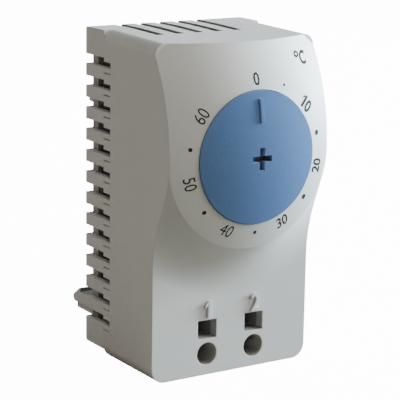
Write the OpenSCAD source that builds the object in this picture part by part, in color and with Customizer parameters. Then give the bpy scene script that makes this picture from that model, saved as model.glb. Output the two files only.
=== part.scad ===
// DIN rail thermostat: a small cabinet thermostat with a domed dial, two push-in
// terminals and a ribbed rear base that hooks on a 35 mm rail.
// Each piece is drawn in the front view: x to the right, y up from the underside,
// z forward from the back plane. placed() then stands it up in the part's own frame.

/* [Housing] */
// Width over the sides
body_w = 32.6; // [31:0.1:36]
// Height from the underside to the top
body_h = 60; // [60:0.5:64]
// Depth of the flat terminal face in front of the back plane
flat_d = 23.6; // [22.6:0.1:26]
// Height of the parting plane in front of the back plane
part_d = 6.5; // [6:0.1:7.5]
// Wall of the sides, the top and the underside
wall = 1.8; // [1.6:0.1:2.2]
// Wall behind the terminal face and the dome
front_wall = 2; // [1.6:0.1:2.4]
// Radius of the front housing's two lower long corners
corner_r = 2.6; // [1.8:0.1:3.5]
// Radius of the front housing's two upper long corners
top_corner_r = 2; // [1:0.1:2.6]
// Draft of the front housing's top in degrees, which falls towards the front
top_draft = 1.3; // [0.5:0.1:1.5]

/* [Dome] */
// Height of the dial axis
dial_h = 40.1; // [39.6:0.1:41]
// Depth of the dome at the dial axis
dome_d = 32.4; // [31.8:0.1:34]
// Radius of the dome's sphere
dome_r = 37.5; // [36:0.5:42]
// Radius of the crease round the dial field
crease_r = 16.35; // [15.8:0.05:16.6]
// Radius of the hollow cove below the crease
cove_r = 11.7; // [10:0.1:13]
// Radius of the edge between the dome and the top
top_edge_r = 1.1; // [0.6:0.1:1.6]

/* [Dial knob] */
// Radius of the knob
knob_r = 11.55; // [10.5:0.05:11.8]
// Gap between the knob and its well
knob_gap = 0.12; // [0.1:0.01:0.25]
// How far the knob's rim stands in front of the dome beside it
knob_proud = 0.35; // [0.2:0.05:0.8]
// Rise of the knob's own dome from rim to centre
knob_crown = 1.4; // [1:0.1:1.8]
// Thickness of the knob's rim
knob_rim_t = 2.8; // [2.2:0.1:3]
// Radius of the knob's hub
hub_r = 4.5; // [3.6:0.1:4.8]
// Length of the arms of the cross slot, end to end
cross_l = 3.9; // [3:0.1:5]
// Width of the arms of the cross slot
cross_w = 1.05; // [0.8:0.05:1.4]
// Depth of the cross slot
cross_d = 2.2; // [1.5:0.1:2.4]
// Length of the raised pointer
pointer_l = 4; // [3:0.1:5]
// Width of the raised pointer
pointer_w = 0.5; // [0.4:0.05:0.9]

/* [Terminals] */
// Distance of each terminal from the middle plane
term_x = 4.93; // [4.8:0.05:5.4]
// Radius of the round wire entries
wire_r = 2.07; // [1.6:0.01:2.2]
// Height of the wire entries
wire_h = 3.9; // [3.9:0.05:4.3]
// Width of the square release holes
release_w = 3.95; // [3:0.05:4.2]
// Height of the opening of the release holes
release_t = 3.45; // [3:0.05:3.8]
// Height of the middle of the release holes
release_h = 8.4; // [8.2:0.1:8.9]
// Length of the moulded wire tunnels
tunnel_l = 6.6; // [5.6:0.1:7]

/* [Rear base] */
// Step from the front housing's underside up to the base's
base_step = 1.8; // [1.2:0.1:2.2]
// Top and bottom walls of the base
base_wall = 2; // [1.8:0.1:2.3]
// Width of the ribs down the base's sides
rib_w = 1.45; // [1.2:0.05:1.6]
// Thickness of the back plate
back_t = 2; // [1.6:0.1:2.4]
// Distance from one notch to the next
notch_pitch = 3.91; // [3.8:0.01:3.95]
// Height of one notch
notch_t = 1.72; // [1.4:0.02:1.9]
// Height of the lowest notch's floor
notch_h0 = 6.5; // [6.3:0.1:7]
// Radius of the base's long edges at the back
base_edge_r = 0.6; // [0.4:0.1:1]
// Height of the round-ended pockets in the front housing, centred on the notch floors
pocket_t = 2.1; // [1.8:0.1:2.4]
// Length of the pockets
pocket_l = 2.35; // [2:0.05:2.6]
// Width of the tongues that carry the base's ribs on into the pockets
tongue_w = 1.1; // [0.9:0.1:1.4]
// Gap round the tongues
tongue_gap = 0.2; // [0.12:0.01:0.25]
// Width of the land that seats on the rail
land_w = 26; // [20:0.5:28]

/* [Vents] */
// Number of vent slots in the top and in the underside
vent_n = 5; // [3:1:5]
// Distance from one vent slot to the next
vent_pitch = 4; // [3.5:0.1:4.4]
// Width of a vent slot
vent_w = 1.6; // [1:0.1:1.8]
// How far the vent slots run forward from the back plane
vent_l = 15; // [12:0.5:16]
// Shift of the row of slots to the left
vent_shift = 1.9; // [0:0.1:2.2]

/* [Rail hooks] */
// Height of the rail that the part clips to
rail_w = 35; // [35:0.1:35.2]
// Play of the rail between the two hooks
rail_play = 0.4; // [0.2:0.1:0.6]
// Room behind the seat for the rail's edges
rail_gap = 2.1; // [1.5:0.1:2.5]
// Height of the floor of the lower hook
rail_floor_h = 10.4; // [10.3:0.1:10.5]
// Overlap of the upper hook's lip with the rail
lip_l = 1; // [0.8:0.1:1.5]
// Width of the upper hook's ledge
upper_hook_w = 27.2; // [22:0.2:28]
// Width of the upper hook's lip
lip_w = 20; // [12:0.5:22]

/* [Mechanism] */
// Thickness of the insulating frame
frame_t = 2; // [1.6:0.1:2.2]
// Length of the rests that hold the frame behind the terminal face
frame_rest = 1.4; // [1.2:0.1:1.8]
// Width of the strips and bars that lie behind the frame
strip_w = 4.4; // [3.8:0.1:4.6]
// Radius of the setting spindle
spindle_r = 2; // [1.6:0.1:2.2]
// Running clearance of turning shafts
run_gap = 0.05; // [0.03:0.01:0.08]
// Smallest radius of the spiral cam
cam_r0 = 4.2; // [4:0.1:4.5]
// Lift of the cam over its whole turn
cam_lift = 2.2; // [1.6:0.1:2.4]
// Travel of the knob in degrees
knob_turn = 306; // [280:2:306]
// Thickness of the bimetal strip
bimetal_t = 0.8; // [0.6:0.1:1]
// Height of the bimetal strip's upper face
bimetal_h = 24.6; // [24.4:0.1:24.8]
// Thickness of the current bars
bar_t = 0.8; // [0.6:0.1:0.9]
// Thickness of the clamp springs
spring_t = 0.4; // [0.3:0.05:0.5]
// Diameter of the contact buttons
contact_d = 2.6; // [2:0.1:3]
// Thickness of each contact button
contact_t = 0.8; // [0.6:0.05:0.8]

/* [Hidden] */
$fn = 96;
eps = 0.05;

// Rail: the part's origin is the middle of the rail seat
upper_floor_h = rail_floor_h + rail_w + rail_play;
rail_h = (rail_floor_h + upper_floor_h) / 2;

// Dome: depth of the sphere at a distance from the dial axis
function dome_at(r) = dome_d - dome_r + sqrt(dome_r * dome_r - r * r);
// Reach of the cove, where it runs out into the terminal face
cove_drop = dome_at(crease_r) - flat_d;
cove_end_r = crease_r + sqrt(cove_r * cove_r - pow(cove_r - cove_drop, 2));

// Base: as many notches as the height holds
notch_n = floor((body_h - base_wall - notch_t - notch_h0) / notch_pitch) + 1;

// Base: rise of the seat that lies on the rail, and the lips that enter the front housing
seat_rise = 0.2;
seat_inset = 2;
hook_clear = 2.1;
base_lip_t = 0.9;
lip_play = 0.1;
lip_reach = 1.8;

// Knob and its well
well_r = knob_r + knob_gap;
well_wall = 1.2;
knob_rim_d = dome_at(well_r) + knob_proud;
knob_back_d = knob_rim_d - knob_rim_t;
knob_dome_r = (knob_r * knob_r + knob_crown * knob_crown) / (2 * knob_crown);
well_floor_d = knob_back_d - 0.4;
well_floor_t = 1.2;
pointer_end_r = knob_r - 1.3;
pointer_rise = 0.3;

// Mechanism, stacked along the spindle from the frame
frame_front_d = flat_d - front_wall - frame_rest;
frame_d = frame_front_d - frame_t;
bush_flange_t = 0.8;
washer_d = frame_front_d + bush_flange_t + 0.02;
washer_t = 0.48;
hub_back_d = washer_d + washer_t + 0.03;
spindle_front_d = knob_back_d + 1.1;
strip_gap = 1.2;
strip_d1 = frame_d - strip_gap;
strip_d0 = strip_d1 - strip_w;
strip_mid_d = (strip_d0 + strip_d1) / 2;
cam_w = strip_w - 1;
cam_d0 = strip_mid_d - cam_w / 2;
cam_d1 = strip_mid_d + cam_w / 2;
cam_front_d = frame_d - 0.2;
spindle_back_d = cam_d0 - 1.8;
bush_wall = 1.5;
bush_flange_w = 1.3;
clip_t = 0.5;
clip_w = 1.4;
clip_bite = 0.45;
clip_d = cam_d0 - 0.35 - clip_t;
stop_r = 1.1;
stop_orbit = 6.6;
stop_middle = (360 - knob_turn) / 2;
finger_half = (360 - knob_turn) / 2 - asin(stop_r / stop_orbit) - 0.6;
cam_finger_r = stop_orbit + 0.7;

// Follower and its spring
follower_w = 3;
follower_gap = 0.1;
follower_top_h = dial_h - cam_r0 - 0.12;
follower_l = 6.2;
guide_top_h = dial_h - cam_finger_r - 0.4;
guide_low_h = bimetal_h + 1.2;
guide_t = 1.4;
coil_wire = 0.36;
coil_r = 1.1;
coil_turns = 6;

// Bimetal strip, its rivets and its calibration screw
side_room = 2;
bimetal_x0 = -(body_w / 2 - wall - side_room);
rivet_r = 0.7;
rivet_head_r = rivet_r * 1.3;
rivet_head_t = 0.5;
rivet_pitch = 2;
rivet_x = [bimetal_x0 + bar_t + rivet_head_r + 0.2, bimetal_x0 + bar_t + rivet_head_r + 0.2 + rivet_pitch];
cal_x = rivet_x[1] + 3;
cal_r = 0.9;
cal_head_t = 1.2;
cal_l = 4.4;
cal_drop = bar_t;

// Contacts and snap magnet, under the free end of the strip
contact_x = term_x + wire_r;
contact_gap = 0.02;
contact_bar_h = bimetal_h - bimetal_t - 2 * contact_t - contact_gap;
contact_tab_l = contact_d / 2 + 0.5;
bimetal_x1 = contact_x + contact_d / 2 + 0.9;
keeper_t = 0.6;
magnet_gap = 0.5;
magnet = [3, 3.1, strip_w - 0.8];
magnet_x0 = contact_x - contact_tab_l - 1.2 - magnet[0];
magnet_d0 = strip_mid_d - magnet[2] / 2;
magnet_top_h = bimetal_h - bimetal_t - keeper_t - magnet_gap;
ledge_t = 1.4;

// Terminals
bar_x = term_x + wire_r + 0.2;
bar_foot_h = 2.4;
tunnel_back_d = flat_d - tunnel_l;
block_w = 2 * (term_x + wire_r + 2.2);
block_h = release_h + release_t / 2 + 1;
frame_low_h = block_h + 3;
screw_x = body_w / 2 - wall - 3.7;
screw_h = body_h - wall - 4;
screw_r = 0.9;
screw_l = 4.5;
frame_margin = 2;
frame_side_gap = 0.25;
screen_t = 0.8;
screen_gap = 0.6;
rest_r = 2;
rest_h = frame_low_h + 3.5;

// Stands the front view up: y becomes height, z becomes depth towards the viewer
module placed() {
    translate([0, 0, -rail_h]) rotate([90, 0, 0]) children();
}

// Moves the z axis of the front view onto the dial axis
module on_dial() {
    translate([0, dial_h, 0]) children();
}

// Extrudes a side view, drawn as depth and height, over the middle of the width
module across(w) {
    rotate([0, -90, 0]) linear_extrude(w, center = true) children();
}

// A block between two depths, centred on the width
module block(w, h0, h1, d0, d1, x = 0) {
    translate([x - w / 2, h0, d0]) cube([w, h1 - h0, d1 - d0]);
}

// A disc or rod along the depth between two depths
module rod(r, d0, d1) {
    translate([0, 0, d0]) cylinder(h = d1 - d0, r = r);
}

// A rod along the height
module upright(r, h0, h1) {
    translate([0, h0, 0]) rotate([-90, 0, 0]) cylinder(h = h1 - h0, r = r);
}

// A block with its long corners rounded, the two upper ones by a radius of their own
module rounded_block(w, h0, h1, d0, d1, low_r, top_r) {
    middle = (h0 + h1) / 2;
    block(w - 2 * low_r, h0, middle, d0, d1);
    block(w - 2 * top_r, middle, h1, d0, d1);
    block(w, h0 + low_r, h1 - top_r, d0, d1);
    for (s = [-1, 1]) {
        translate([s * (w / 2 - low_r), h0 + low_r, 0]) rod(low_r, d0, d1);
        translate([s * (w / 2 - top_r), h1 - top_r, 0]) rod(top_r, d0, d1);
    }
}

// Outline of a bent strip of even thickness along the points of its centre line
function unit(v) = v / norm(v);
function left_of(v) = [-v[1], v[0]];
function mitre(p, i) =
    let (a = i > 0 ? unit(p[i] - p[i - 1]) : unit(p[1] - p[0]),
         b = i < len(p) - 1 ? unit(p[i + 1] - p[i]) : a,
         m = unit(left_of(a) + left_of(b)))
    m / (m * left_of(a));
function strip_outline(p, t) = concat(
    [for (i = [0 : len(p) - 1]) p[i] + mitre(p, i) * t / 2],
    [for (i = [len(p) - 1 : -1 : 0]) p[i] - mitre(p, i) * t / 2]);
module strip(p, t, d0, d1) {
    translate([0, 0, d0]) linear_extrude(d1 - d0) polygon(strip_outline(p, t));
}

// Sphere of the dome, drawn in by an amount
module dome(inset = 0) {
    on_dial() translate([0, 0, dome_d - dome_r]) sphere(r = dome_r - inset, $fn = 128);
}

// Everything in front of the parting plane that the dome bounds
module dome_field(r, inset) {
    intersection() {
        dome(inset);
        union() {
            on_dial() rod(r, part_d - 2, dome_d + 1);
            block(2 * body_w, dial_h, body_h + 1, part_d - 2, dome_d + 1);
        }
    }
}

// Cove that leads from the crease down to the terminal face
module cove_field() {
    on_dial() difference() {
        rod(cove_end_r, part_d, dome_at(crease_r));
        rotate_extrude() translate([cove_end_r, flat_d + cove_r]) circle(r = cove_r);
    }
}

// Row of vent slots, cut through both the top and the underside
module vent_cuts() {
    reach = base_step + base_wall + 0.4;
    for (i = [0 : vent_n - 1], h = [[-1, reach], [body_h - reach, body_h + 1]])
        block(vent_w, h[0], h[1], -1, vent_l, (i - (vent_n - 1) / 2) * vent_pitch - vent_shift);
}

function notch_floor(i) = notch_h0 + i * notch_pitch;
inner_r = 0.4;

// Round-ended slot on both sides of the body, cut in from each side by a width
module side_slots(h, t, l, w) {
    for (s = [-1, 1])
        translate([s * (body_w - w) / 2, h, part_d]) rotate([0, 90, 0]) {
            linear_extrude(w, center = true) translate([-(l - t / 2), 0]) circle(r = t / 2);
            translate([-(l - t / 2) - 1, -t / 2, -w / 2]) cube([l - t / 2 + 1, t, w]);
        }
}

// Block with the top of the front housing, which has draft from the parting plane on
module drafted_block() {
    translate([0, body_h, part_d]) rotate([top_draft, 0, 0]) translate([0, -body_h, -part_d])
        rounded_block(body_w, -body_h, body_h, 0, dome_d + wall, corner_r, top_corner_r);
}

// Outside of a rounded edge between the dome and the top: both are round about the axis
// that stands square on the top in the sphere's middle, so the edge is too
module top_edge_cut() {
    r = top_edge_r;
    rise = (body_h - dial_h) * cos(top_draft) + (part_d - dome_d + dome_r) * sin(top_draft);
    middle = [sqrt(pow(dome_r - r, 2) - pow(rise - r, 2)), rise - r];
    on_dial() translate([0, 0, dome_d - dome_r]) rotate([top_draft - 90, 0, 0]) difference() {
        rotate_extrude() polygon([middle, middle + [0, 2 * r], middle + [2 * r, 2 * r],
            middle + 2 * r * unit(middle)]);
        rotate_extrude() translate(middle) circle(r = r);
    }
}

module housing_outside() {
    difference() {
        intersection() {
            drafted_block();
            rounded_block(body_w, 0, 2 * body_h, part_d, dome_d + 1, corner_r, corner_r);
            union() {
                block(body_w, 0, dial_h, part_d, flat_d);
                cove_field();
                dome_field(crease_r, 0);
            }
        }
        top_edge_cut();
    }
}

module housing_inside() {
    intersection() {
        rounded_block(body_w - 2 * wall, wall, body_h - wall, part_d - 1, dome_d,
            corner_r - wall + inner_r, inner_r);
        union() {
            block(body_w, 0, body_h, part_d - 1, flat_d - front_wall);
            dome_field(crease_r - front_wall, front_wall);
        }
    }
}

module knob_well() {
    intersection() {
        dome();
        on_dial() rod(well_r + well_wall, well_floor_d - well_floor_t, dome_d);
    }
}

module terminal_block() {
    block(block_w, wall - eps, block_h, tunnel_back_d, flat_d - front_wall + eps);
}

module screw_bosses() {
    intersection() {
        dome(eps);
        for (x = [-1, 1])
            translate([x * screw_x, screw_h, 0]) rod(screw_r + 1.5, frame_front_d, dome_d);
    }
    for (x = [-1, 1])
        translate([x * screw_x, rest_h, 0]) rod(rest_r, frame_front_d, flat_d - front_wall + eps);
}

module terminal_holes() {
    for (x = [-term_x, term_x]) {
        translate([x, wire_h, 0]) rod(wire_r, tunnel_back_d - 1, flat_d + 1);
        block(release_w, release_h - release_t / 2, release_h + release_t / 2,
            tunnel_back_d - 1, flat_d + 1, x);
    }
}

module front_housing() {
    color([0.80, 0.81, 0.80]) difference() {
        union() {
            difference() {
                housing_outside();
                housing_inside();
            }
            knob_well();
            terminal_block();
            screw_bosses();
        }
        on_dial() rod(well_r, well_floor_d, dome_d + 1);
        on_dial() rod(hub_r + 0.3, well_floor_d - well_floor_t - 1, dome_d);
        for (x = [-1, 1])
            translate([x * screw_x, screw_h, 0]) rod(screw_r, frame_front_d - 1, frame_front_d + screw_l + 0.3);
        terminal_holes();
        vent_cuts();
        for (i = [0 : notch_n - 1])
            side_slots(notch_floor(i), pocket_t, pocket_l, wall + 0.1);
    }
}

// Box of the base with its cavity and the back plate's side edges set in by one wall
module base_box() {
    difference() {
        across(body_w) {
            translate([base_edge_r, base_step]) square([part_d - base_edge_r, body_h - base_step]);
            translate([0, base_step + base_edge_r]) square([part_d, body_h - base_step - 2 * base_edge_r]);
            for (h = [base_step + base_edge_r, body_h - base_edge_r])
                translate([base_edge_r, h]) circle(r = base_edge_r);
        }
        block(body_w - 2 * rib_w, base_step + base_wall, body_h - base_wall, back_t, part_d + 1);
        difference() {
            block(body_w - 2 * seat_inset, base_step + base_wall, body_h - base_wall, -1, seat_rise);
            block(land_w, rail_floor_h + hook_clear, upper_floor_h - lip_l - 1, -2, 1);
        }
    }
}

// Lips along the top and the bottom that slide inside the front housing
module base_lips() {
    difference() {
        rounded_block(body_w - 2 * (wall + lip_play), wall + lip_play, body_h - wall - lip_play,
            part_d - 1, part_d + lip_reach, corner_r - wall + inner_r, inner_r);
        block(body_w, wall + lip_play + base_lip_t, body_h - wall - lip_play - base_lip_t,
            part_d - 2, part_d + 3);
        block(body_w, -1, base_step + base_wall - eps, part_d - 2, part_d);
    }
}

module notch_cuts() {
    for (i = [0 : notch_n - 1], s = [-1, 1])
        block(rib_w + eps, notch_floor(i), notch_floor(i) + notch_t, -1, part_d,
            s * (body_w - rib_w + eps) / 2);
}

// Lower hook: a wide catch with a slanted nose, stiffened by an inset layer below
module lower_hook() {
    catch_rise = 0.7;
    nose_l = 2.8;
    layer_t = 1.2;
    layer_inset = 0.4;
    low_h = notch_floor(0) + notch_t;
    back = -rail_gap - nose_l;
    across(body_w) polygon([
        [back_t, rail_floor_h], [-rail_gap, rail_floor_h], [-rail_gap, rail_floor_h + catch_rise],
        [-rail_gap - 0.4, rail_floor_h + catch_rise], [back, rail_floor_h - 1],
        [back, low_h + 0.4], [back + 0.5, low_h], [back_t, low_h]]);
    block(body_w - 2 * layer_inset, low_h - layer_t, low_h, back + 0.9, back_t);
}

// Upper hook: a ledge with a narrower lip that reaches down behind the rail
module upper_hook() {
    hook_t = 1.8;
    back = -rail_gap - 1.5;
    across(upper_hook_w) polygon([
        [back_t, upper_floor_h], [back, upper_floor_h], [back, upper_floor_h + hook_t],
        [back_t, upper_floor_h + hook_t]]);
    across(lip_w) polygon([
        [-rail_gap, upper_floor_h + eps], [-rail_gap, upper_floor_h - lip_l],
        [-rail_gap - 0.6, upper_floor_h - lip_l], [back, upper_floor_h - lip_l + 0.7],
        [back, upper_floor_h + eps]]);
}

module rear_base() {
    color([0.72, 0.72, 0.70]) {
        difference() {
            union() {
                base_box();
                base_lips();
            }
            notch_cuts();
            vent_cuts();
        }
        for (i = [0 : notch_n - 1])
            intersection() {
                side_slots(notch_floor(i), pocket_t - 2 * tongue_gap, pocket_l - tongue_gap, tongue_w);
                block(body_w, notch_floor(i) - pocket_t, notch_floor(i), part_d - eps, flat_d);
            }
        lower_hook();
        upper_hook();
        for (x = [-1, 1])
            translate([x * (bar_x + 0.3), release_h, 0]) rod(1.6, back_t - eps, strip_d0 - 0.1);
    }
}

module dial_knob() {
    color([0.36, 0.50, 0.70]) on_dial() difference() {
        union() {
            intersection() {
                rod(knob_r, knob_back_d, dome_d + 1);
                translate([0, 0, knob_rim_d + knob_crown - knob_dome_r]) sphere(r = knob_dome_r, $fn = 128);
            }
            rod(hub_r, hub_back_d, knob_back_d + eps);
            intersection() {
                block(pointer_w, pointer_end_r - pointer_l, pointer_end_r, knob_back_d, dome_d + 1);
                translate([0, 0, knob_rim_d + knob_crown - knob_dome_r])
                    sphere(r = knob_dome_r + pointer_rise, $fn = 128);
            }
        }
        for (a = [0, 90])
            rotate([0, 0, a]) block(cross_w, -cross_l / 2, cross_l / 2,
                knob_rim_d + knob_crown - cross_d, dome_d + 1);
        rod(spindle_r + 0.02, hub_back_d - 1, spindle_front_d + 0.05);
    }
}

// Flat on the spindle that drives the cam
module spindle_flat(gap) {
    translate([spindle_r * 0.7 + gap, -spindle_r * 2, spindle_back_d - 1])
        cube([spindle_r, spindle_r * 4, cam_front_d - spindle_back_d + 1 + 0.02]);
}

module setting_spindle() {
    color([0.80, 0.66, 0.36]) on_dial() difference() {
        rod(spindle_r, spindle_back_d, spindle_front_d);
        spindle_flat(0);
        difference() {
            rod(spindle_r + 1, clip_d - 0.03, clip_d + clip_t + 0.03);
            rod(spindle_r - clip_bite, clip_d - 1, clip_d + 2);
        }
    }
}

module spindle_bush() {
    color([0.80, 0.66, 0.36]) on_dial() difference() {
        union() {
            rod(spindle_r + bush_wall, frame_d, frame_front_d + eps);
            rod(spindle_r + bush_wall + bush_flange_w, frame_front_d, frame_front_d + bush_flange_t);
        }
        rod(spindle_r + run_gap, frame_d - 1, frame_front_d + 2);
    }
}

module friction_washer() {
    color([0.70, 0.70, 0.72]) on_dial() difference() {
        rod(hub_r - 0.1, washer_d, washer_d + washer_t);
        rod(spindle_r + 0.2, washer_d - 1, washer_d + 1);
    }
}

// Radius of the spiral cam at an angle clockwise from the top, and its rim
function cam_radius(a) = cam_r0 + cam_lift * (180 - a) / knob_turn;
cam_over = 12;
cam_rim = [for (a = [180 - knob_turn - cam_over : 6 : 180 + cam_over])
    cam_radius(a) * [sin(a), cos(a)]];

module setting_cam() {
    color([0.92, 0.92, 0.88]) on_dial() difference() {
        union() {
            translate([0, 0, cam_d0]) linear_extrude(cam_d1 - cam_d0) polygon(cam_rim);
            rod(cam_r0 - 0.9, cam_d0, cam_front_d);
            intersection() {
                rod(cam_finger_r, cam_d1 - eps, cam_front_d);
                translate([0, 0, cam_d1 - eps]) linear_extrude(3) polygon(concat([[0, 0]],
                    [for (s = [-1, 1]) 12 * [sin(stop_middle + s * finger_half), cos(stop_middle + s * finger_half)]]));
            }
        }
        difference() {
            rod(spindle_r + 0.02, cam_d0 - 1, cam_front_d + 1);
            spindle_flat(0.02);
        }
    }
}

module spindle_clip() {
    color([0.45, 0.45, 0.47]) on_dial() difference() {
        rod(spindle_r + clip_w, clip_d, clip_d + clip_t);
        rod(spindle_r - clip_bite + 0.02, clip_d - 1, clip_d + 1);
        block(2 * (spindle_r - clip_bite + 0.02), -spindle_r - clip_w - 1, 0, clip_d - 1, clip_d + 1);
    }
}

module stop_pin() {
    color([0.70, 0.70, 0.72]) on_dial() translate([0, stop_orbit, 0])
        rod(stop_r, cam_d1 + 0.2, frame_front_d);
}

// Block of the frame behind its plate, from a strip's front edge or further back
module frame_block(x0, x1, h0, h1, d0) {
    translate([x0, h0, d0]) cube([x1 - x0, h1 - h0, frame_d + eps - d0]);
}

module mechanism_frame() {
    screen_x = body_w / 2 - wall - frame_side_gap - screen_t / 2;
    screen_in_x = screen_x - screen_t / 2;
    ledge_h = magnet_top_h - magnet[1];
    channel_w = follower_w + 2 * follower_gap;
    color([0.30, 0.31, 0.33]) difference() {
        union() {
            block(2 * screen_x, frame_low_h, screw_h + frame_margin, frame_d, frame_front_d);
            // screens that stand behind the notches and keep fingers off the bars
            for (s = [-1, 1])
                block(screen_t, notch_h0 - 1, screw_h + frame_margin, back_t + screen_gap, frame_front_d,
                    s * screen_x);
            // guides of the follower and the floor of their channel
            for (s = [-1, 1])
                block(guide_t, guide_low_h, guide_top_h, strip_d0, frame_d + eps, s * (channel_w + guide_t) / 2);
            frame_block(-follower_w / 2 - 0.5, follower_w / 2 + 0.5, guide_low_h, guide_top_h, cam_d1 - 0.05);
            // pads that the current bars rest on
            frame_block(-screen_in_x - eps, cal_x + cal_r, frame_low_h, bimetal_h - bimetal_t - bar_t, strip_d1);
            frame_block(contact_x - contact_tab_l, bar_x + 3, frame_low_h, contact_bar_h, strip_d1);
            // ledge of the magnet
            frame_block(magnet_x0 - 0.5, magnet_x0 + magnet[0] + 0.5, ledge_h - ledge_t, ledge_h, magnet_d0 - 0.2);
        }
        on_dial() rod(spindle_r + bush_wall + 0.02, frame_d - 1, frame_front_d + 1);
        on_dial() translate([0, stop_orbit, 0]) rod(stop_r + 0.01, frame_d - 1, frame_front_d + 1);
        for (s = [-1, 1])
            translate([s * screw_x, screw_h, 0]) rod(screw_r + 0.2, frame_d - 1, frame_front_d + 1);
    }
}

module frame_screws() {
    head_t = 1.3;
    color([0.72, 0.72, 0.74]) for (x = [-1, 1])
        translate([x * screw_x, screw_h, 0]) difference() {
            union() {
                rod(screw_r - 0.01, frame_d - eps, frame_front_d + screw_l);
                rod(screw_r * 2, frame_d - head_t, frame_d);
            }
            block(0.5, -3, 3, frame_d - head_t - 1, frame_d - head_t + 0.6);
        }
}

module cam_follower() {
    color([0.92, 0.92, 0.88])
        block(follower_w, follower_top_h - follower_l, follower_top_h, cam_d0 + 0.2, cam_d1 - 0.2);
}

// Points of a ring of the coil, square to its helix closely enough for a thin wire
spring_h0 = bimetal_h + coil_wire / 2 + 0.02;
spring_h1 = follower_top_h - follower_l - coil_wire / 2 - 0.02;
coil_steps = 14;
coil_sides = 6;
module setting_spring() {
    n = coil_turns * coil_steps;
    pts = [for (i = [0 : n], j = [0 : coil_sides - 1])
        let (a = 360 * i / coil_steps, b = 360 * j / coil_sides,
             r = coil_r + coil_wire / 2 * cos(b))
        [r * cos(a), spring_h0 + (spring_h1 - spring_h0) * i / n + coil_wire / 2 * sin(b),
            strip_mid_d + r * sin(a)]];
    quads = [for (i = [0 : n - 1], j = [0 : coil_sides - 1])
        let (k = (j + 1) % coil_sides)
        [i * coil_sides + j, (i + 1) * coil_sides + j, (i + 1) * coil_sides + k, i * coil_sides + k]];
    ends = [[for (j = [0 : coil_sides - 1]) j], [for (j = [coil_sides - 1 : -1 : 0]) n * coil_sides + j]];
    color([0.70, 0.70, 0.72]) polyhedron(pts, concat(quads, ends), convexity = 8);
}

module bimetal_strip() {
    color([0.78, 0.62, 0.45]) difference() {
        translate([bimetal_x0, bimetal_h - bimetal_t, strip_d0])
            cube([bimetal_x1 - bimetal_x0, bimetal_t, strip_w]);
        for (x = rivet_x)
            translate([x, 0, strip_mid_d]) upright(rivet_r + 0.01, bimetal_h - bimetal_t - 1, bimetal_h + 1);
    }
}

module bimetal_rivets() {
    low = bimetal_h - bimetal_t - bar_t;
    color([0.72, 0.60, 0.38]) for (x = rivet_x)
        translate([x, 0, strip_mid_d]) {
            upright(rivet_r, low - rivet_head_t, bimetal_h + rivet_head_t);
            upright(rivet_head_r, bimetal_h, bimetal_h + rivet_head_t);
            upright(rivet_head_r, low - rivet_head_t, low);
        }
}

module calibration_screw() {
    top = bimetal_h - bimetal_t - 0.05;
    head_h = top - cal_l - cal_head_t;
    color([0.80, 0.66, 0.36]) translate([cal_x, 0, strip_mid_d]) difference() {
        union() {
            upright(cal_r, top - cal_l, top);
            upright(cal_r * 1.9, head_h, top - cal_l);
        }
        translate([-cal_r / 3, head_h - 1, -strip_w]) cube([cal_r * 2 / 3, 1.6, 2 * strip_w]);
    }
}

// Current bar of the left terminal, up to the tab that carries the bimetal strip
module bimetal_bar() {
    tab = bimetal_h - bimetal_t - bar_t / 2;
    left = bimetal_x0 + bar_t / 2;
    bend_x = rivet_x[1] + rivet_head_r + 0.2;
    color([0.85, 0.70, 0.38]) difference() {
        strip([[-bar_x, bar_foot_h], [-bar_x, frame_low_h - 0.5], [left, frame_low_h + 3.5], [left, tab],
            [bend_x, tab], [bend_x + cal_drop, tab - cal_drop], [cal_x + cal_r + 0.8, tab - cal_drop]],
            bar_t, strip_d0, strip_d1);
        for (x = rivet_x)
            translate([x, 0, strip_mid_d]) upright(rivet_r + 0.01, tab - 1, tab + 1);
        translate([cal_x, 0, strip_mid_d]) upright(cal_r + 0.01, tab - cal_drop - 1, tab + 1);
    }
}

// Current bar of the right terminal, up to the tab with the fixed contact
module contact_bar() {
    tab = contact_bar_h - bar_t / 2;
    color([0.85, 0.70, 0.38])
        strip([[bar_x, bar_foot_h], [bar_x, tab], [contact_x - contact_tab_l, tab]], bar_t, strip_d0, strip_d1);
}

module fixed_contact() {
    color([0.88, 0.88, 0.90]) translate([contact_x, 0, strip_mid_d])
        upright(contact_d / 2, contact_bar_h, contact_bar_h + contact_t);
}

module moving_contact() {
    color([0.88, 0.88, 0.90]) translate([contact_x, 0, strip_mid_d])
        upright(contact_d / 2, bimetal_h - bimetal_t - contact_t, bimetal_h - bimetal_t);
}

// Iron plate under the strip that the magnet pulls, which makes the contacts snap
module snap_keeper() {
    low = bimetal_h - bimetal_t - keeper_t;
    color([0.50, 0.50, 0.52]) block(magnet[0], low, low + keeper_t, magnet_d0,
        magnet_d0 + magnet[2], magnet_x0 + magnet[0] / 2);
}

module snap_magnet() {
    color([0.25, 0.25, 0.27]) translate([magnet_x0, magnet_top_h - magnet[1], magnet_d0]) cube(magnet);
}

// Leaf spring that clamps the wire against the current bar
module clamp_spring() {
    bend_r = 1.3;
    foot_x = term_x - 2.1;
    bend_h = release_h + 1.1;
    strip(concat([[foot_x, bar_foot_h], [foot_x, bend_h]],
        [for (a = [30 : 30 : 150]) [foot_x + bend_r * (1 - cos(a)), bend_h + bend_r * sin(a)]],
        [[foot_x + 2 * bend_r, bend_h], [foot_x + 2.4 * bend_r, wire_h + 3.6],
            [foot_x + 1.3 * bend_r, wire_h + 2.4]]),
        spring_t, strip_d0 + 0.2, strip_d1 - 0.2);
}

module clamp_spring_1() {
    color([0.70, 0.70, 0.72]) mirror([1, 0, 0]) clamp_spring();
}

module clamp_spring_2() {
    color([0.70, 0.70, 0.72]) clamp_spring();
}

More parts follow.
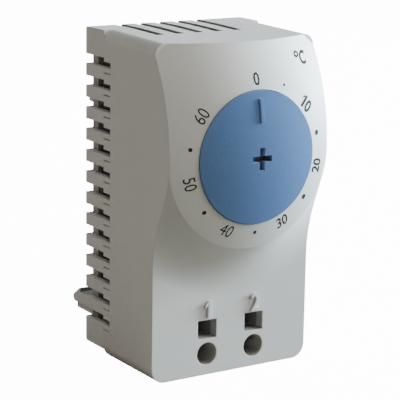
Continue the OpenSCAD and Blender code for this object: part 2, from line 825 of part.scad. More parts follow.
placed() front_housing();
placed() rear_base();
placed() dial_knob();
placed() setting_spindle();
placed() spindle_bush();
placed() friction_washer();
placed() setting_cam();
placed() spindle_clip();
placed() stop_pin();
placed() mechanism_frame();
placed() frame_screws();
placed() cam_follower();
placed() setting_spring();
placed() bimetal_strip();
placed() bimetal_rivets();
placed() calibration_screw();
placed() bimetal_bar();
placed() contact_bar();
placed() fixed_contact();
placed() moving_contact();
placed() snap_keeper();
placed() snap_magnet();
placed() clamp_spring_1();
placed() clamp_spring_2();
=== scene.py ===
# %% [markdown]
# # A DIN rail thermostat, dressed for its picture
#
# The thermostat comes into this scene as a finished set of solids, one object for each real piece.
# The lesson adds what solids don't have: a camera and light, moulded plastic, metal, the printed
# scale round the dial and the raised numbers over the terminals. Everything is in metres, with X to the
# viewer's right, the front facing -Y and Z up. The origin is where the back lies against its rail.

# %% Load the frame
import math

import bmesh
import bpy
from mathutils import Matrix, Vector


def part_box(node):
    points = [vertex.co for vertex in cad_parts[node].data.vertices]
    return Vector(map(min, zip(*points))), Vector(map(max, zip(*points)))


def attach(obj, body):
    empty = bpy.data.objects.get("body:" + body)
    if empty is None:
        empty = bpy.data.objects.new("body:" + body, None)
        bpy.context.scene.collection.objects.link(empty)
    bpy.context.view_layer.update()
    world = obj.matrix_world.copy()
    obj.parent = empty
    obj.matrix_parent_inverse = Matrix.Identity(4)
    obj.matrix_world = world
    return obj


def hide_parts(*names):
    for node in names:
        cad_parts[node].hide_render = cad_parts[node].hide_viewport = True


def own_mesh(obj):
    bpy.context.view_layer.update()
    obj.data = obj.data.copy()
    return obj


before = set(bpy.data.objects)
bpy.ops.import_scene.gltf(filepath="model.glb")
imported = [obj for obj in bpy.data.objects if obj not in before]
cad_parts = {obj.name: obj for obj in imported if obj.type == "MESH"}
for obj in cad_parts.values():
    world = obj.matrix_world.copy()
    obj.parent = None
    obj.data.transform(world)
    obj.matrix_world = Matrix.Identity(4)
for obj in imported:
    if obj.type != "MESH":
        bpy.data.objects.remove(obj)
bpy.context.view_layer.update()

# %% [markdown]
# ## Sizes that the scene shares with the solids
#
# The boxes of the housing and the knob give the outer sizes. The printed scale follows the dome, so the
# dome's curve is repeated here: a sphere whose middle lies behind the dial, on its axis.

# %% Sizes
MM = 0.001
body_low, body_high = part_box("front_housing")
knob_low, knob_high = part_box("dial_knob")
dial_z = (knob_low[2] + knob_high[2]) / 2
underside_z = body_low[2]
dome_radius = 37.5 * MM
dome_front_y = -32.4 * MM
face_y = -23.6 * MM


def dome_y(x, z):
    """How far forward the dome lies at a place in the front view."""
    r2 = x * x + (z - dial_z) ** 2
    return dome_front_y + dome_radius - math.sqrt(dome_radius ** 2 - r2)


print("dial axis at z = %.2f mm, underside at %.2f mm" % (dial_z / MM, underside_z / MM))

# %% [markdown]
# ## The camera
#
# The photograph was taken with a long lens, from the left and a little above. The place and the turn of
# the camera were fitted to edges of the housing. A long lens keeps the upright edges almost parallel.

# %% Camera
camera_place = Vector((-158.44, -257.83, 68.43)) * MM
camera_yaw, camera_pitch, camera_roll = (math.radians(a) for a in (32.905, 13.017, 0.918))
focal_pixels, photo_pixels = 1660.0, 400.0

ahead = Vector((math.sin(camera_yaw) * math.cos(camera_pitch),
                math.cos(camera_yaw) * math.cos(camera_pitch), -math.sin(camera_pitch)))
level_right = Vector((math.cos(camera_yaw), -math.sin(camera_yaw), 0))
level_up = level_right.cross(ahead)
right = math.cos(camera_roll) * level_right + math.sin(camera_roll) * level_up
up = math.cos(camera_roll) * level_up - math.sin(camera_roll) * level_right

camera_data = bpy.data.cameras.new("camera")
camera_data.sensor_width = 36
camera_data.lens = focal_pixels / photo_pixels * camera_data.sensor_width
camera_data.clip_start = 0.01
camera = bpy.data.objects.new("camera", camera_data)
camera.matrix_world = Matrix.Translation(camera_place) @ Matrix((right, up, -ahead)).transposed().to_4x4()
bpy.context.scene.collection.objects.link(camera)
bpy.context.scene.camera = camera
print("lens %.1f mm, %.0f mm from the dial" % (camera_data.lens, camera_place.length / MM))

# %% [markdown]
# ## The white floor
#
# Product pictures of such parts are lit hard from one side and stand before pure white, which is often
# painted in later. A floor that is really that white would throw its light back into the shaded side.
# So the floor is a warm grey to the light, and a Light Path node adds the white that the camera sees.
# Under the part it stays grey, or white spots would shine up through the vents and wire entries.
#
# Three helpers come first, and later steps use them too: one makes a material, one puts a mesh into the
# scene, and one tells a shader which points lie inside a box. For those points the distances from the
# middle of the box, each divided by its half size, are all below 1.

# %% New material
def new_material(name):
    """A material, its nodes, its links and its shader."""
    material = bpy.data.materials.new(name)
    material.use_nodes = True
    nodes = material.node_tree.nodes
    return material, nodes, material.node_tree.links, nodes["Principled BSDF"]


# %% Into the scene
def into_scene(name, bm, smooth=True):
    """Turns a bmesh into an object of the scene."""
    mesh = bpy.data.meshes.new(name)
    bm.to_mesh(mesh)
    bm.free()
    mesh.shade_smooth() if smooth else mesh.shade_flat()
    piece = bpy.data.objects.new(name, mesh)
    bpy.context.scene.collection.objects.link(piece)
    return piece


# %% Inside a box
def inside_box(material, low, high):
    """Nodes that give 1 for the points of a piece that lie inside a box, and 0 for the others."""
    nodes, links = material.node_tree.nodes, material.node_tree.links
    place = nodes.new("ShaderNodeTexCoord")
    from_middle, share, unsigned = (nodes.new("ShaderNodeVectorMath") for _ in range(3))
    from_middle.operation, share.operation, unsigned.operation = "SUBTRACT", "DIVIDE", "ABSOLUTE"
    from_middle.inputs[1].default_value = (Vector(low) + Vector(high)) / 2
    share.inputs[1].default_value = (Vector(high) - Vector(low)) / 2
    parts = nodes.new("ShaderNodeSeparateXYZ")
    wide, widest, inside = (nodes.new("ShaderNodeMath") for _ in range(3))
    wide.operation = widest.operation = "MAXIMUM"
    inside.operation = "LESS_THAN"
    inside.inputs[1].default_value = 1
    links.new(place.outputs["Object"], from_middle.inputs[0])
    links.new(from_middle.outputs[0], share.inputs[0])
    links.new(share.outputs[0], unsigned.inputs[0])
    links.new(unsigned.outputs[0], parts.inputs[0])
    links.new(parts.outputs["X"], wide.inputs[0])
    links.new(parts.outputs["Y"], wide.inputs[1])
    links.new(wide.outputs[0], widest.inputs[0])
    links.new(parts.outputs["Z"], widest.inputs[1])
    links.new(widest.outputs[0], inside.inputs[0])
    return inside.outputs[0]


# %% Floor
backdrop_white, floor_tone, floor_roughness = 14.0, (0.22, 0.19, 0.15), 0.9
floor_half_size, floor_drop = 3, 0.02 * MM
shade_half_width, shade_front, shade_back, any_height = 13.5 * MM, face_y + 0.8 * MM, -1.0 * MM, 1
bm = bmesh.new()
bmesh.ops.create_grid(bm, x_segments=1, y_segments=1, size=floor_half_size,
                      matrix=Matrix.Translation((0, 0, underside_z - floor_drop)))
floor = into_scene("floor", bm, smooth=False)
floor_paint, floor_nodes, floor_links, floor_shader = new_material("floor_paint")
floor_shader.inputs["Base Color"].default_value = (*floor_tone, 1)
floor_shader.inputs["Roughness"].default_value = floor_roughness
floor_shader.inputs["Emission Color"].default_value = (1, 1, 1, 1)
ray = floor_nodes.new("ShaderNodeLightPath")
white, bare = floor_nodes.new("ShaderNodeMath"), floor_nodes.new("ShaderNodeMath")
white.operation = bare.operation = "MULTIPLY"
white.inputs[1].default_value = backdrop_white
under_part = inside_box(floor_paint, (-shade_half_width, shade_front, underside_z - any_height),
                        (shade_half_width, shade_back, underside_z + any_height))
uncovered = floor_nodes.new("ShaderNodeMath")
uncovered.operation = "SUBTRACT"
uncovered.inputs[0].default_value = 1
floor_links.new(under_part, uncovered.inputs[1])
floor_links.new(ray.outputs["Is Camera Ray"], white.inputs[0])
floor_links.new(white.outputs[0], bare.inputs[0])
floor_links.new(uncovered.outputs[0], bare.inputs[1])
floor_links.new(bare.outputs[0], floor_shader.inputs["Emission Strength"])
floor.data.materials.append(floor_paint)
print("floor at z = %.2f mm, %d m wide" % ((underside_z - floor_drop) / MM, 2 * floor_half_size))

# %% [markdown]
# ## Soft boxes and the room
#
# The right of the dome is near white in the photograph, the front is a middle grey and the left side is
# dark and warm. That takes a strong, low and cool soft box straight from the right, which only grazes the
# front, and a second one a little higher. Weak warm ones light the front and the shaded side, and a weak,
# nearly white one from the upper left fills the rounding along the top. The room itself is dim and warm
# to the part, and as white as the floor to the camera.

# %% Lights
part_middle, box_distance, box_side = Vector((0, -0.015, 0.002)), 0.7, 0.3


def soft_box(name, toward, power, colour):
    """A square area lamp in some direction from the part, turned to face it."""
    data = bpy.data.lights.new(name, "AREA")
    data.shape = "SQUARE"
    data.size, data.energy, data.color = box_side, power, colour
    lamp = bpy.data.objects.new(name, data)
    place = part_middle + Vector(toward).normalized() * box_distance
    turn = (part_middle - place).to_track_quat("-Z", "Y")
    lamp.matrix_world = Matrix.Translation(place) @ turn.to_matrix().to_4x4()
    bpy.context.scene.collection.objects.link(lamp)
    return lamp


soft_box("box_low_right", (0.99, -0.11, 0.035), 19, (0.64, 0.82, 1.0))
soft_box("box_right", (0.95, -0.08, 0.31), 19.5, (0.78, 0.93, 1.0))
soft_box("box_front", (0.58, -0.58, 0.57), 3.2, (1.0, 0.95, 0.85))
soft_box("box_behind", (-0.77, 0.64, 0.035), 0.6, (1.0, 0.84, 0.70))
soft_box("box_upper_left", (-0.49, -0.09, 0.87), 1.3, (1.0, 0.97, 0.92))
print("soft boxes:", len(bpy.data.lights), "at", box_distance, "m")

# %% Dim room
room_tone, room_strength = (1.0, 0.92, 0.80), 0.155
world = bpy.data.worlds.new("dim_room")
world.use_nodes = True
world_nodes, world_links = world.node_tree.nodes, world.node_tree.links
room = world_nodes["Background"]
room.inputs["Color"].default_value = (*room_tone, 1)
room.inputs["Strength"].default_value = room_strength
backdrop = world_nodes.new("ShaderNodeBackground")
backdrop.inputs["Strength"].default_value = backdrop_white
world_ray = world_nodes.new("ShaderNodeLightPath")
world_mix = world_nodes.new("ShaderNodeMixShader")
world_links.new(world_ray.outputs["Is Camera Ray"], world_mix.inputs["Fac"])
world_links.new(room.outputs["Background"], world_mix.inputs[1])
world_links.new(backdrop.outputs["Background"], world_mix.inputs[2])
world_links.new(world_mix.outputs["Shader"], world_nodes["World Output"].inputs["Surface"])
bpy.context.scene.world = world
print("room light %.3f, backdrop %.0f" % (room_strength, backdrop_white))

# %% [markdown]
# ## Moulded plastic
#
# Housings of this kind are injection moulded with a fine spark-eroded skin. Close up the skin is a very
# fine grain, the colour wanders by a hair, and every edge of the mould is a little round. The
# grain is a Noise texture into a Bump node, and a Bevel node rounds the edges in the shading
# alone, so that the solids keep their sharp, exact form.

# %% Moulded plastic
drift_scale, drift_detail, grain_detail, grain_strength, edge_samples = 90, 3, 2, 0.35, 6


def moulded(name, colour, shade, roughness, gloss, grain_mm, grain_depth_mm, edge_mm):
    """Plastic with a fine grain, a faint drift of colour and softened edges."""
    material, nodes, links, shader = new_material(name)
    shader.inputs["Roughness"].default_value = roughness
    shader.inputs["Specular IOR Level"].default_value = gloss
    place = nodes.new("ShaderNodeTexCoord")
    drift = nodes.new("ShaderNodeTexNoise")
    drift.inputs["Scale"].default_value = drift_scale
    drift.inputs["Detail"].default_value = drift_detail
    tone = nodes.new("ShaderNodeMix")
    tone.data_type = "RGBA"
    tone.inputs["A"].default_value = (*colour, 1)
    tone.inputs["B"].default_value = (*shade, 1)
    links.new(place.outputs["Object"], drift.inputs["Vector"])
    links.new(drift.outputs["Fac"], tone.inputs["Factor"])
    links.new(tone.outputs["Result"], shader.inputs["Base Color"])
    grain = nodes.new("ShaderNodeTexNoise")
    grain.inputs["Scale"].default_value = 1 / (grain_mm * MM)
    grain.inputs["Detail"].default_value = grain_detail
    edge = nodes.new("ShaderNodeBevel")
    edge.samples = edge_samples
    edge.inputs["Radius"].default_value = edge_mm * MM
    bump = nodes.new("ShaderNodeBump")
    bump.inputs["Strength"].default_value = grain_strength
    bump.inputs["Distance"].default_value = grain_depth_mm * MM
    links.new(place.outputs["Object"], grain.inputs["Vector"])
    links.new(grain.outputs["Fac"], bump.inputs["Height"])
    links.new(edge.outputs["Normal"], bump.inputs["Normal"])
    links.new(bump.outputs["Normal"], shader.inputs["Normal"])
    return material


light_grey, light_grey_shade = (0.585, 0.60, 0.595), (0.56, 0.575, 0.57)
housing_plastic = moulded("housing_plastic", light_grey, light_grey_shade, roughness=0.47, gloss=0.5,
                          grain_mm=0.16, grain_depth_mm=0.01, edge_mm=0.16)
number_plastic = moulded("number_plastic", light_grey, light_grey_shade, roughness=0.5, gloss=0.5,
                         grain_mm=0.16, grain_depth_mm=0.01, edge_mm=0.04)
base_plastic = moulded("base_plastic", (0.585, 0.60, 0.59), (0.56, 0.575, 0.565), roughness=0.55, gloss=0.5,
                       grain_mm=0.16, grain_depth_mm=0.01, edge_mm=0.12)
dial_plastic = moulded("dial_plastic", (0.102, 0.182, 0.368), (0.086, 0.162, 0.34), roughness=0.7,
                       gloss=0.01, grain_mm=0.3, grain_depth_mm=0.07, edge_mm=0.08)
white_plastic = moulded("white_plastic", (0.72, 0.71, 0.66), (0.69, 0.68, 0.63), roughness=0.5, gloss=0.5,
                        grain_mm=0.3, grain_depth_mm=0.01, edge_mm=0.15)
black_plastic = moulded("black_plastic", (0.07, 0.07, 0.072), (0.085, 0.085, 0.086), roughness=0.5,
                        gloss=0.4, grain_mm=0.3, grain_depth_mm=0.01, edge_mm=0.15)
print("plastics: housing, number, base, dial, white and black")

# %% [markdown]
# ## Painted shade behind the front wall
#
# Through the wire entries and release holes one sees the front wall in the housing's own grey, and
# behind it only dark. So everything of the housing that lies deeper than its wall gets painted shade,
# box by box, and so do the walls of the wire entries. In the release holes the front wall gets a lighter
# painted shade and what lies behind it a darker one. The slope of a face can narrow a tone to the walls
# that run along one axis, which the next steps need.

# %% Tone inside a box
wall_slope = 0.5


def tone_inside(material, low, high, dark, walls_along=None):
    """Gives a material another colour inside a box, or only to the walls that run along an axis."""
    nodes, links = material.node_tree.nodes, material.node_tree.links
    base_colour = nodes["Principled BSDF"].inputs["Base Color"]
    toned = inside_box(material, low, high)
    if walls_along:
        surface, direction = nodes.new("ShaderNodeNewGeometry"), nodes.new("ShaderNodeSeparateXYZ")
        slope, wall, both = (nodes.new("ShaderNodeMath") for _ in range(3))
        slope.operation, wall.operation, both.operation = "ABSOLUTE", "LESS_THAN", "MULTIPLY"
        wall.inputs[1].default_value = wall_slope
        links.new(surface.outputs["True Normal"], direction.inputs[0])
        links.new(direction.outputs[walls_along], slope.inputs[0])
        links.new(slope.outputs[0], wall.inputs[0])
        links.new(wall.outputs[0], both.inputs[0])
        links.new(toned, both.inputs[1])
        toned = both.outputs[0]
    deep = nodes.new("ShaderNodeMix")
    deep.data_type = "RGBA"
    deep.inputs["B"].default_value = (*dark, 1)
    links.new(toned, deep.inputs["Factor"])
    links.new(base_colour.links[0].from_socket, deep.inputs["A"])
    links.new(deep.outputs["Result"], base_colour)


# %% Dark behind the front wall
front_wall, side_wall, entry_edge, past_back = 2.0 * MM, 1.75 * MM, 0.2 * MM, 1 * MM
entry_half_width, entry_top, release_top = 8.5 * MM, 6.3 * MM, 10.6 * MM
release_wall, release_end = 1.95 * MM, 9 * MM
# Painted shade: darker tones for the housing's inside and the walls of its entries and release holes.
painted_deep_shade, release_shade, release_deep_shade = (0.38, 0.365, 0.34), (0.44, 0.43, 0.415), (0.30, 0.29, 0.27)
tone_inside(housing_plastic, (body_low[0] + side_wall, face_y + front_wall, body_low[2] + side_wall),
            (body_high[0] - side_wall, body_high[1] + past_back, body_high[2] - side_wall), painted_deep_shade)
tone_inside(housing_plastic, (-entry_half_width, face_y + entry_edge, body_low[2] + side_wall),
            (entry_half_width, face_y + front_wall, body_low[2] + entry_top), painted_deep_shade)
tone_inside(housing_plastic, (-entry_half_width, face_y + entry_edge, body_low[2] + entry_top),
            (entry_half_width, face_y + release_wall, body_low[2] + release_top), release_shade)
tone_inside(housing_plastic, (-entry_half_width, face_y + release_wall, body_low[2] + entry_top),
            (entry_half_width, face_y + release_end, body_low[2] + release_top), release_deep_shade)
print("entries toned up to %.1f mm above the underside" % (release_top / MM))

# %% [markdown]
# ## Shaded notches, catch and vents
#
# Little light gets between the ribs of the base, into the vents or into the mouth of the lower catch. In
# the side notches the floors and ceilings get a tone and the rear ends a darker one, while the sides stay
# as they are. In the vents only the walls get a tone, so the top beside them stays light.

# %% Notches, catch and vents
catch_low, catch_high = (body_low[0], 0.05 * MM, -17.75 * MM), (body_high[0], 4.0 * MM, -12 * MM)
notch_low_z, notch_high_z, base_half_width = -27.5 * MM, 31 * MM, 17 * MM
notch_front_y, notch_back_y = -9.5 * MM, -2.2 * MM
back_front_y, back_rear_y, back_inner_x, back_outer_x = -1.95 * MM, -0.05 * MM, 14.2 * MM, 15.5 * MM
vent_half_width, vent_depth, vent_back, vent_front = 13 * MM, 2.5 * MM, -0.3 * MM, -21.6 * MM
past_top = 1 * MM
catch_shade, vent_dark = (0.17, 0.165, 0.16), (0.16, 0.155, 0.15)
notch_shade, notch_back_shade = (0.49, 0.495, 0.485), (0.46, 0.465, 0.455)
tone_inside(base_plastic, catch_low, catch_high, catch_shade)
tone_inside(base_plastic, (-base_half_width, notch_front_y, notch_low_z),
            (base_half_width, notch_back_y, notch_high_z), notch_shade, walls_along="X")
for low_x, high_x in ((-back_outer_x, -back_inner_x), (back_inner_x, back_outer_x)):
    tone_inside(base_plastic, (low_x, back_front_y, notch_low_z), (high_x, back_rear_y, notch_high_z),
                notch_back_shade, walls_along="Z")
for plastic in (housing_plastic, base_plastic):
    tone_inside(plastic, (-vent_half_width, vent_front, body_high[2] - vent_depth),
                (vent_half_width, vent_back, body_high[2] + past_top), vent_dark, walls_along="Z")
print("vents toned %.1f mm deep" % (vent_depth / MM))

# %% [markdown]
# ## Painted light on the dial
#
# The rim of the dial gets painted light, a touch paler than its face, and the floor of the cross slot gets
# painted light too, a paler grey. Both are tones in boxes again: the rim is every face of the knob that
# runs along the dial's axis.

# %% Rim and slot of the dial
knob_margin, slot_reach, slot_front, slot_floor = Vector((1, 1, 1)) * MM, 2.2 * MM, 0.7 * MM, 4 * MM
# Painted light: the rim and the floor of the cross slot are paler than the knob's blue.
painted_rim_light, painted_slot_light = (0.20, 0.31, 0.52), (0.23, 0.26, 0.31)
tone_inside(dial_plastic, knob_low - knob_margin, knob_high + knob_margin, painted_rim_light, walls_along="Y")
tone_inside(dial_plastic, (-slot_reach, knob_low[1] + slot_front, dial_z - slot_reach),
            (slot_reach, knob_low[1] + slot_floor, dial_z + slot_reach), painted_slot_light)
print("slot toned %.1f mm each way from the dial axis" % (slot_reach / MM))

# %% [markdown]
# ## Metals
#
# The inner pieces are brass bars, sprung steel and a few special metals. Rolled strip has fine lines along
# its length, so a Noise texture is stretched by a Mapping node and drives the roughness.

# %% Metals
line_scale, polish_spread = 900, 0.25


def rolled_metal(name, colour, roughness, stretch=(1, 1, 12)):
    """Metal with fine rolling lines in its polish."""
    material, nodes, links, shader = new_material(name)
    shader.inputs["Base Color"].default_value = (*colour, 1)
    shader.inputs["Metallic"].default_value = 1
    place = nodes.new("ShaderNodeTexCoord")
    mapping = nodes.new("ShaderNodeMapping")
    mapping.inputs["Scale"].default_value = stretch
    lines = nodes.new("ShaderNodeTexNoise")
    lines.inputs["Scale"].default_value = line_scale
    polish = nodes.new("ShaderNodeMapRange")
    polish.inputs["To Min"].default_value = roughness * (1 - polish_spread)
    polish.inputs["To Max"].default_value = roughness * (1 + polish_spread)
    links.new(place.outputs["Object"], mapping.inputs["Vector"])
    links.new(mapping.outputs["Vector"], lines.inputs["Vector"])
    links.new(lines.outputs["Fac"], polish.inputs["Value"])
    links.new(polish.outputs["Result"], shader.inputs["Roughness"])
    return material


brass = rolled_metal("brass", (0.72, 0.52, 0.24), 0.32)
spring_steel = rolled_metal("spring_steel", (0.55, 0.55, 0.56), 0.3)
bimetal = rolled_metal("bimetal", (0.52, 0.46, 0.38), 0.35, (12, 1, 1))
silver = rolled_metal("silver", (0.86, 0.86, 0.85), 0.2)
magnet_metal = rolled_metal("magnet_metal", (0.10, 0.10, 0.11), 0.6)
print("metals: brass, spring steel, bimetal, silver and magnet")

# %% [markdown]
# ## A finish for every piece
#
# A list says which piece is of which material. Every piece that it doesn't name is of steel.

# %% Finishes
finishes = {
    "front_housing": housing_plastic, "rear_base": base_plastic, "dial_knob": dial_plastic,
    "setting_cam": white_plastic, "cam_follower": white_plastic, "mechanism_frame": black_plastic,
    "setting_spindle": brass, "spindle_bush": brass, "bimetal_rivets": brass, "calibration_screw": brass,
    "bimetal_bar": brass, "contact_bar": brass, "bimetal_strip": bimetal, "fixed_contact": silver,
    "moving_contact": silver, "snap_magnet": magnet_metal,
}
for name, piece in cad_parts.items():
    piece.data.materials.clear()
    piece.data.materials.append(finishes.get(name, spring_steel))
print("finished", len(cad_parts), "pieces")

# %% [markdown]
# ## The setting spring
#
# A small coil spring stands between the follower and the bimetal strip. When the dial turns, the cam pushes
# the follower down and the spring gets shorter. So it is wound here anew with a spin that climbs.

# %% Setting spring
wire_radius, coil_radius, coil_turns, steps_per_turn, wire_sides = 0.18 * MM, 1.1 * MM, 6, 18, 8
spring_low, spring_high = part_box("setting_spring")
spring_length = spring_high[2] - spring_low[2]
spring_y = (spring_low[1] + spring_high[1]) / 2
climb = spring_length - 2 * wire_radius
bm = bmesh.new()
bmesh.ops.create_circle(bm, cap_ends=False, segments=wire_sides, radius=wire_radius,
                        matrix=Matrix.Rotation(math.pi / 2, 4, "X"))
bmesh.ops.translate(bm, verts=bm.verts, vec=(coil_radius, spring_y, spring_low[2] + wire_radius))
steps = coil_turns * steps_per_turn
bmesh.ops.spin(bm, geom=bm.verts[:] + bm.edges[:], cent=(0, spring_y, 0), axis=(0, 0, 1),
               dvec=(0, 0, climb / steps), angle=2 * math.pi * coil_turns, steps=steps, use_merge=False)
bmesh.ops.holes_fill(bm, edges=[e for e in bm.edges if e.is_boundary], sides=wire_sides)
bmesh.ops.recalc_face_normals(bm, faces=bm.faces)
coil = into_scene("spring_coil", bm)
coil.data.materials.append(spring_steel)
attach(coil, "housing")
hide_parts("setting_spring")
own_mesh(coil)

# %% [markdown]
# ## The barrier behind the clamps
#
# In the photograph the wire entries end in the dark. Behind the clamps a real terminal block has a wall,
# which stops the wire and keeps it off the mechanism. Without one, the eye goes in at an entry and out
# again through the vents in the back. So a low wall of black plastic stands there, a bar with a thinner
# panel in its middle, as moulded walls have, and with two small feet in the vents behind the entries.
# It is an assumption, because the photograph can't show it.
#
# The bar is a cube with an inset and a bevel, and the feet are bevelled cubes. A helper adds the faces of
# one bmesh to another.

# %% Join
def join_into(bm, other):
    """Adds the faces of another bmesh to one."""
    mesh = bpy.data.meshes.new("joined")
    other.to_mesh(mesh)
    other.free()
    bm.from_mesh(mesh)
    bpy.data.meshes.remove(mesh)


# %% Barrier behind the clamps
barrier_low = Vector((-12.8 * MM, -11.9 * MM, underside_z + 1.85 * MM))
barrier_high = Vector((12.8 * MM, -11.1 * MM, underside_z + 6.6 * MM))
panel_border, panel_depth, barrier_edge = 0.8 * MM, 0.15 * MM, 0.06 * MM
foot_size, foot_edge = (1.56 * MM, 0.7 * MM, 2 * MM), 0.05 * MM
foot_places = [(x, -11.5 * MM, underside_z + 1.1 * MM) for x in (-5.9 * MM, 6.1 * MM)]
bm = bmesh.new()
bmesh.ops.create_cube(bm, size=1)
bmesh.ops.scale(bm, verts=bm.verts, vec=barrier_high - barrier_low)
bmesh.ops.translate(bm, verts=bm.verts, vec=(barrier_low + barrier_high) / 2)
broad_sides = [face for face in bm.faces if abs(face.normal.y) > 0.9]
bmesh.ops.inset_individual(bm, faces=broad_sides, thickness=panel_border, depth=-panel_depth)
bmesh.ops.bevel(bm, geom=bm.edges[:], affect="EDGES", offset=barrier_edge, segments=2, profile=0.5,
                material=-1)
for foot_place in foot_places:
    foot = bmesh.new()
    bmesh.ops.create_cube(foot, size=1)
    bmesh.ops.scale(foot, verts=foot.verts, vec=foot_size)
    bmesh.ops.bevel(foot, geom=foot.edges[:], affect="EDGES", offset=foot_edge, segments=2, profile=0.5,
                    material=-1)
    bmesh.ops.translate(foot, verts=foot.verts, vec=foot_place)
    join_into(bm, foot)
barrier = into_scene("clamp_barrier", bm)
barrier.data.materials.append(black_plastic)
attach(barrier, "housing")
print("barrier %.1f x %.1f mm" % tuple((barrier_high - barrier_low)[i] / MM for i in (0, 2)))

# %% [markdown]
# ## The printed scale
#
# The numbers 0 to 60 and the dots between them are pad printed, so they are ink on the dome. A number is
# made from a text that becomes a mesh, except the 1, which is drawn with a small flag. A helper then sets
# the points of a print on the dome, two hundredths of a millimetre proud.

# %% Ink
ink = moulded("ink", (0.036, 0.036, 0.035), (0.046, 0.046, 0.044), roughness=0.8, gloss=0.03,
              grain_mm=0.1, grain_depth_mm=0.004, edge_mm=0.02)
print("made", ink.name)

# %% Text as a flat mesh
def flat_text(words, height, narrow=1.0, weight=0.0):
    """A bmesh of some figures in the XY plane, centred, with their cap height given in metres."""
    curve = bpy.data.curves.new("figures", "FONT")
    curve.body = words
    curve.size = 1
    curve.offset = weight
    curve.resolution_u = 6
    holder = bpy.data.objects.new("figures", curve)
    bpy.context.scene.collection.objects.link(holder)
    bpy.context.view_layer.update()
    mesh = bpy.data.meshes.new_from_object(holder)
    bpy.data.objects.remove(holder)
    bm = bmesh.new()
    bm.from_mesh(mesh)
    bpy.data.meshes.remove(mesh)
    bmesh.ops.remove_doubles(bm, verts=bm.verts, dist=1e-5)
    low_x, high_x = min(v.co.x for v in bm.verts), max(v.co.x for v in bm.verts)
    low_y, high_y = min(v.co.y for v in bm.verts), max(v.co.y for v in bm.verts)
    bmesh.ops.translate(bm, verts=bm.verts, vec=(-(low_x + high_x) / 2, -(low_y + high_y) / 2, 0))
    size = height / (high_y - low_y)
    bmesh.ops.scale(bm, verts=bm.verts, vec=(size * narrow, size, 1))
    return bm


# %% The figure 1
def flagged_one(height, stroke, flag_reach=0.19, flag_low=0.76, flag_root=0.80):
    """A bmesh of the figure 1 with its small flag. All measures but the height are shares of it."""
    bm = bmesh.new()
    outline = [(0, 0), (stroke, 0), (stroke, 1), (stroke * 0.25, 1), (-flag_reach, flag_low),
               (-flag_reach, flag_low - stroke * 1.1), (0, flag_root)]
    bm.faces.new([bm.verts.new((x, y - 0.5, 0)) for x, y in outline])
    bmesh.ops.scale(bm, verts=bm.verts, vec=(height, height, 1))
    return bm


# %% Print on the dome
longest_edge, ink_thickness = 0.5 * MM, 0.02 * MM


def print_on_dome(name, bm, across, upward, turn):
    """Turns a flat print clockwise, moves it to its place and lays it on the dome."""
    bmesh.ops.rotate(bm, verts=bm.verts, cent=(0, 0, 0), matrix=Matrix.Rotation(-turn, 3, "Z"))
    bmesh.ops.subdivide_edges(bm, edges=[e for e in bm.edges if e.calc_length() > longest_edge], cuts=2)
    for v in bm.verts:
        x, z = v.co.x + across, v.co.y + dial_z + upward
        v.co = (x, dome_y(x, z) - ink_thickness, z)
    piece = into_scene(name, bm)
    piece.data.materials.append(ink)
    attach(piece, "housing")
    return piece


# %% [markdown]
# The numbers stand 51 degrees of turn apart, with a dot halfway between each pair. The 0, 10 and 60 have
# their feet to the dial and the others their heads, so none is upside down. The print isn't even: the 10
# and 20 are larger and fuller than the rest, and the first dot is the smallest.

# %% Numbers and dots
scale_step, scale_radius, dot_radius = math.radians(51), 13.45 * MM, 13.3 * MM
figure_heights = (2.15 * MM, 2.4 * MM, 2.3 * MM, 2.2 * MM, 2.15 * MM, 2.03 * MM, 2.1 * MM)
print_fullness = (0.014, 0.035, 0.035, 0.014, 0.0, 0.0, -0.002)
dot_sizes = (0.24 * MM, 0.5 * MM, 0.5 * MM, 0.35 * MM, 0.37 * MM, 0.34 * MM)
feet_to_dial, ten_half_gap, one_stroke, dot_sides = (0, 1, 6), 0.75 * MM, 0.22, 20
for i in range(7):
    angle = scale_step * i
    turn = angle if i in feet_to_dial else angle - math.pi
    height, fullness = figure_heights[i], print_fullness[i]
    figures = flat_text("0" if i == 1 else str(10 * i), height, narrow=0.86, weight=fullness)
    if i == 1:
        bmesh.ops.translate(figures, verts=figures.verts, vec=(ten_half_gap, 0, 0))
        one = flagged_one(height, one_stroke)
        bmesh.ops.translate(one, verts=one.verts, vec=(-ten_half_gap, 0, 0))
        join_into(figures, one)
    print_on_dome("figure_%d" % (10 * i), figures, scale_radius * math.sin(angle),
                  scale_radius * math.cos(angle), turn)
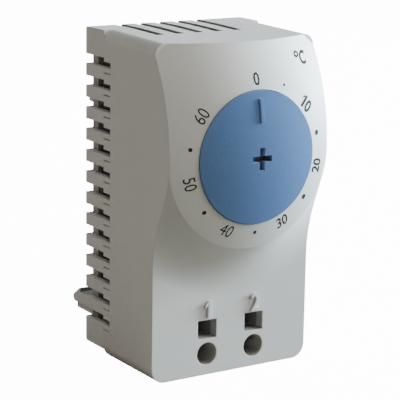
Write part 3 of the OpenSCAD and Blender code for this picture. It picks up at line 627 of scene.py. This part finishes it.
for i in range(6):
    angle = scale_step * (i + 0.5)
    dot = bmesh.new()
    bmesh.ops.create_circle(dot, cap_ends=True, segments=dot_sides, radius=dot_sizes[i])
    print_on_dome("dot_%d" % i, dot, dot_radius * math.sin(angle), dot_radius * math.cos(angle), 0)
print("printed %d figures and %d dots" % (len(figure_heights), len(dot_sizes)))

# %% [markdown]
# The unit mark stands at the upper right of the scale. Its ring and its letter are two texts, so that each
# has the height and the place that were measured in the photograph.

# %% Unit mark
unit_across, unit_up, ring_shift = 11.75 * MM, 15.98 * MM, (-1.5 * MM, 0.67 * MM, 0)
unit = flat_text("C", 2.35 * MM, narrow=0.8, weight=0.04)
degree_ring = flat_text("°", 1.15 * MM, narrow=1.1, weight=0.02)
bmesh.ops.translate(degree_ring, verts=degree_ring.verts, vec=ring_shift)
join_into(unit, degree_ring)
print_on_dome("unit_mark", unit, unit_across, unit_up, 0)
print("unit mark %.2f mm right of the dial axis" % (unit_across / MM))

# %% [markdown]
# ## Raised numbers over the terminals
#
# The two terminals are numbered 1 and 2 in the mould itself, so the numbers stand proud of the face in
# the housing's own colour. The flat figure is extruded, and the plastic's Bevel node softens its edge.

# %% Raised numbers
number_height, number_depth, number_sunk, number_z = 3.15 * MM, 0.5 * MM, 0.05 * MM, underside_z + 12.1 * MM
number_shapes = {"1": flagged_one(number_height, stroke=0.16),
                 "2": flat_text("2", number_height, narrow=0.85, weight=0.015)}
number_across = {"1": -5.0 * MM, "2": 5.0 * MM}
for digit, bm in number_shapes.items():
    grown = bmesh.ops.extrude_face_region(bm, geom=bm.faces[:])
    front = [g for g in grown["geom"] if isinstance(g, bmesh.types.BMVert)]
    bmesh.ops.translate(bm, verts=front, vec=(0, 0, number_depth))
    bmesh.ops.recalc_face_normals(bm, faces=bm.faces)
    bmesh.ops.rotate(bm, verts=bm.verts, cent=(0, 0, 0), matrix=Matrix.Rotation(math.pi / 2, 3, "X"))
    bmesh.ops.translate(bm, verts=bm.verts, vec=(number_across[digit], face_y + number_sunk, number_z))
    number = into_scene("terminal_number_" + digit, bm, smooth=False)
    number.data.materials.append(number_plastic)
    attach(number, "housing")
print("numbers stand %.2f mm proud" % ((number_depth - number_sunk) / MM))
